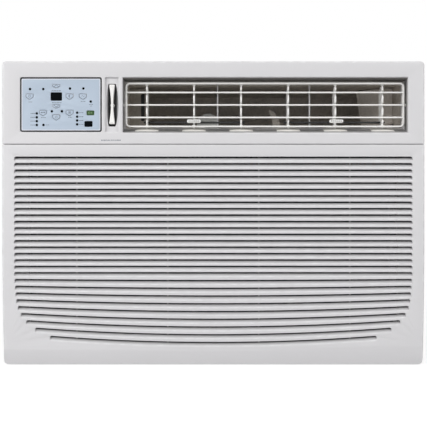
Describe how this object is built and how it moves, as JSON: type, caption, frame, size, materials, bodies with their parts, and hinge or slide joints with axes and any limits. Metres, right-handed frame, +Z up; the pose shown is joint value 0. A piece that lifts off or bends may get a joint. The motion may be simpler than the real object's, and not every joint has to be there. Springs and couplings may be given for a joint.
{
  "type": "window air conditioner",
  "caption": "Window air conditioner with a slatted intake grille, tilting outlet louvre, vent pull and soft-key panel on a chassis that slides out of a steel cabinet.",
  "frame": {"origin": "centre of the bounding box's underside, where the cabinet stands on the sill", "axes": "+X right as seen from the room, +Y from the room to outdoors, +Z up"},
  "size_m": [0.66, 0.69, 0.475],
  "materials": {
    "front_moulding": "semi-gloss off-white moulded plastic",
    "louver_moulding": "smooth white moulded plastic",
    "panel_overlay": "satin blue-grey control overlay",
    "dark_window": "glossy black window",
    "green_lens": "translucent green lens",
    "circuit_board": "green circuit board",
    "cabinet_paint": "powder-coated pale grey sheet steel",
    "galvanised": "bare galvanised sheet steel",
    "fins": "aluminium fins on copper tube",
    "aluminium": "plain aluminium",
    "steel": "plain steel",
    "copper": "bare copper tube",
    "foam": "white expanded plastic foam",
    "duct_foam": "pale warm grey expanded plastic foam",
    "dark_plastic": "black moulded plastic",
    "black_paint": "black painted steel",
    "rubber": "black rubber",
    "filter_mesh": "fine woven plastic mesh"
  },
  "bodies": {
    "cabinet": {"cabinet_wrap": "cabinet_paint", "cabinet_base": "galvanised"},
    "chassis": {"front_frame": "front_moulding", "cord_gland": "rubber", "control_overlay": "panel_overlay", "display_window": "dark_window", "power_light": "green_lens", "remote_eye": "dark_window", "display_board": "circuit_board", "vent_door_pin": "steel", "base_pan": "galvanised", "bulkhead": "galvanised", "evaporator_coil": "fins", "drain_tray": "foam", "condenser_coil": "fins", "condenser_shroud": "galvanised", "rear_guard": "cabinet_paint", "blower_scroll": "duct_foam", "blower_orifice": "dark_plastic", "fan_motor": "black_paint", "motor_mount": "galvanised", "compressor": "black_paint", "terminal_cover": "dark_plastic", "accumulator": "black_paint", "compressor_foot_1": "rubber", "compressor_foot_2": "rubber", "compressor_foot_3": "rubber", "suction_pipe": "copper", "liquid_pipe": "copper", "discharge_pipe": "copper", "control_box": "galvanised", "control_board": "circuit_board", "run_capacitor": "aluminium", "top_brace": "galvanised"},
    "fan_rotor": {"fan_shaft": "steel", "blower_wheel": "aluminium", "condenser_fan": "dark_plastic"},
    "grille": {"intake_grille": "front_moulding", "filter_frame": "dark_plastic", "filter_mesh": "filter_mesh"},
    "louver": {"louver_frame": "louver_moulding"},
    "vane_1": {"vane_1": "louver_moulding"},
    "vane_2": {"vane_2": "louver_moulding"},
    "vane_3": {"vane_3": "louver_moulding"},
    "vane_4": {"vane_4": "louver_moulding"},
    "vane_5": {"vane_5": "louver_moulding"},
    "vane_6": {"vane_6": "louver_moulding"},
    "vane_link_left": {"vane_link_left": "dark_plastic"},
    "vane_link_right": {"vane_link_right": "dark_plastic"},
    "vent_pull": {"vent_handle": "louver_moulding", "vent_rod": "steel"},
    "vent_door": {"vent_door": "dark_plastic"},
    "key_timer": {"key_timer": "panel_overlay"},
    "key_up": {"key_up": "panel_overlay"},
    "key_down": {"key_down": "panel_overlay"},
    "key_sleep": {"key_sleep": "panel_overlay"},
    "key_saver": {"key_saver": "panel_overlay"},
    "key_mode": {"key_mode": "panel_overlay"},
    "key_power": {"key_power": "panel_overlay"},
    "key_fan": {"key_fan": "panel_overlay"}
  },
  "joints": [
    {"name": "chassis_slide", "type": "slide", "parent": "cabinet", "child": "chassis", "axis": [0, -1, 0], "range_m": [0, 0.4]},
    {"name": "fan_spin", "type": "hinge", "parent": "chassis", "child": "fan_rotor", "pos_m": [0.04, 0, 0.1891], "axis": [0, 1, 0], "continuous": true},
    {"name": "grille_tilt", "type": "hinge", "parent": "chassis", "child": "grille", "pos_m": [0, -0.311, 0.008], "axis": [1, 0, 0], "range_deg": [0, 35]},
    {"name": "louver_tilt", "type": "hinge", "parent": "chassis", "child": "louver", "pos_m": [0.0813, -0.326, 0.4084], "axis": [1, 0, 0], "range_deg": [-20, 20]},
    {"name": "vane_1_turn", "type": "hinge", "parent": "louver", "child": "vane_1", "pos_m": [-0.1052, -0.3228, 0.4084], "axis": [0, 0, 1], "range_deg": [-30, 30]},
    {"name": "vane_2_turn", "type": "hinge", "parent": "louver", "child": "vane_2", "pos_m": [-0.0306, -0.3228, 0.4084], "axis": [0, 0, 1], "range_deg": [-30, 30]},
    {"name": "vane_3_turn", "type": "hinge", "parent": "louver", "child": "vane_3", "pos_m": [0.044, -0.3228, 0.4084], "axis": [0, 0, 1], "range_deg": [-30, 30]},
    {"name": "vane_4_turn", "type": "hinge", "parent": "louver", "child": "vane_4", "pos_m": [0.1186, -0.3228, 0.4084], "axis": [0, 0, 1], "range_deg": [-30, 30]},
    {"name": "vane_5_turn", "type": "hinge", "parent": "louver", "child": "vane_5", "pos_m": [0.1932, -0.3228, 0.4084], "axis": [0, 0, 1], "range_deg": [-30, 30]},
    {"name": "vane_6_turn", "type": "hinge", "parent": "louver", "child": "vane_6", "pos_m": [0.2678, -0.3228, 0.4084], "axis": [0, 0, 1], "range_deg": [-30, 30]},
    {"name": "vane_link_left_slide", "type": "slide", "parent": "louver", "child": "vane_link_left", "axis": [1, 0, 0], "range_m": [-0.0081, 0.0081]},
    {"name": "vane_link_right_slide", "type": "slide", "parent": "louver", "child": "vane_link_right", "axis": [1, 0, 0], "range_m": [-0.0081, 0.0081]},
    {"name": "vent_pull_slide", "type": "slide", "parent": "chassis", "child": "vent_pull", "axis": [0, -1, 0], "range_m": [0, 0.02]},
    {"name": "vent_door_swing", "type": "hinge", "parent": "chassis", "child": "vent_door", "pos_m": [-0.21045, -0.0819, 0.4072], "axis": [0, 0, -1], "range_deg": [0, 21]},
    {"name": "key_timer_press", "type": "slide", "parent": "chassis", "child": "key_timer", "axis": [0, 1, 0], "range_m": [0, 0.0006], "stiffness_N_per_m": 300, "springref_m": -0.001},
    {"name": "key_up_press", "type": "slide", "parent": "chassis", "child": "key_up", "axis": [0, 1, 0], "range_m": [0, 0.0006], "stiffness_N_per_m": 300, "springref_m": -0.001},
    {"name": "key_down_press", "type": "slide", "parent": "chassis", "child": "key_down", "axis": [0, 1, 0], "range_m": [0, 0.0006], "stiffness_N_per_m": 300, "springref_m": -0.001},
    {"name": "key_sleep_press", "type": "slide", "parent": "chassis", "child": "key_sleep", "axis": [0, 1, 0], "range_m": [0, 0.0006], "stiffness_N_per_m": 300, "springref_m": -0.001},
    {"name": "key_saver_press", "type": "slide", "parent": "chassis", "child": "key_saver", "axis": [0, 1, 0], "range_m": [0, 0.0006], "stiffness_N_per_m": 300, "springref_m": -0.001},
    {"name": "key_mode_press", "type": "slide", "parent": "chassis", "child": "key_mode", "axis": [0, 1, 0], "range_m": [0, 0.0006], "stiffness_N_per_m": 300, "springref_m": -0.001},
    {"name": "key_power_press", "type": "slide", "parent": "chassis", "child": "key_power", "axis": [0, 1, 0], "range_m": [0, 0.0006], "stiffness_N_per_m": 300, "springref_m": -0.001},
    {"name": "key_fan_press", "type": "slide", "parent": "chassis", "child": "key_fan", "axis": [0, 1, 0], "range_m": [0, 0.0006], "stiffness_N_per_m": 300, "springref_m": -0.001}
  ],
  "couplings": [
    {"joint": "vane_1_turn", "follows": "vane_2_turn", "ratio": 1},
    {"joint": "vane_3_turn", "follows": "vane_2_turn", "ratio": 1},
    {"joint": "vane_4_turn", "follows": "vane_5_turn", "ratio": 1},
    {"joint": "vane_6_turn", "follows": "vane_5_turn", "ratio": 1},
    {"joint": "vane_link_left_slide", "follows": "vane_2_turn", "m_per_rad": -0.01528},
    {"joint": "vane_link_right_slide", "follows": "vane_5_turn", "m_per_rad": -0.01528},
    {"joint": "vent_door_swing", "follows": "vent_pull_slide", "rad_per_m": 17.9}
  ]
}
